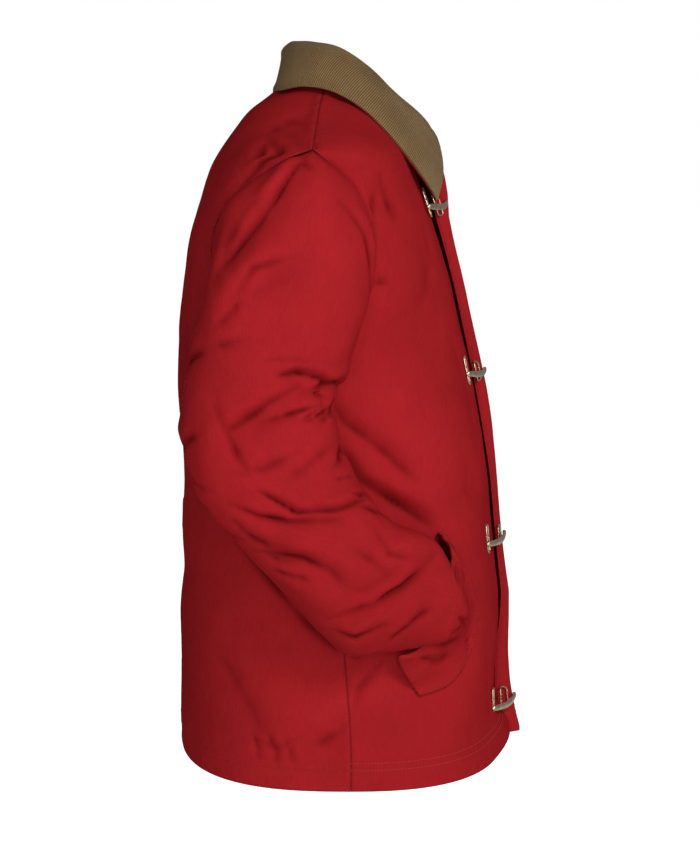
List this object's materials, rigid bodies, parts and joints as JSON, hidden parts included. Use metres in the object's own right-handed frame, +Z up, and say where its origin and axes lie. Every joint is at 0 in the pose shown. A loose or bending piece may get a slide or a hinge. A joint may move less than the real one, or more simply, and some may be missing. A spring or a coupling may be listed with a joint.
{
  "type": "fireman jacket",
  "caption": "hip-length canvas work jacket with a corduroy collar, clasp front and patch pockets, filled out as worn with both cuffs in the pockets",
  "frame": {"origin": "between the shoulders at neck height, where the wearer carries the jacket", "axes": "front faces -Y, the wearer's right side is -X, +Z is up"},
  "size_m": [0.6142, 0.3591, 0.7444],
  "materials": {
    "red_canvas": "brushed cotton canvas",
    "tan_corduroy": "fine-wale corduroy",
    "aged_brass": "aged plating"
  },
  "bodies": {
    "root": {"back": "red_canvas", "front_right": "red_canvas", "front_left": "red_canvas", "sleeve_right": "red_canvas", "sleeve_left": "red_canvas", "undercollar": "red_canvas", "pocket_right": "red_canvas", "pocket_left": "red_canvas", "collar": "tan_corduroy", "clasp_frame_1": "aged_brass", "clasp_frame_2": "aged_brass", "clasp_frame_3": "aged_brass", "clasp_frame_4": "aged_brass", "clasp_hook_1": "aged_brass", "clasp_hook_2": "aged_brass", "clasp_hook_3": "aged_brass", "clasp_hook_4": "aged_brass", "clasp_loop_1": "aged_brass", "clasp_loop_2": "aged_brass", "clasp_loop_3": "aged_brass", "clasp_loop_4": "aged_brass"}
  },
  "joints": []
}
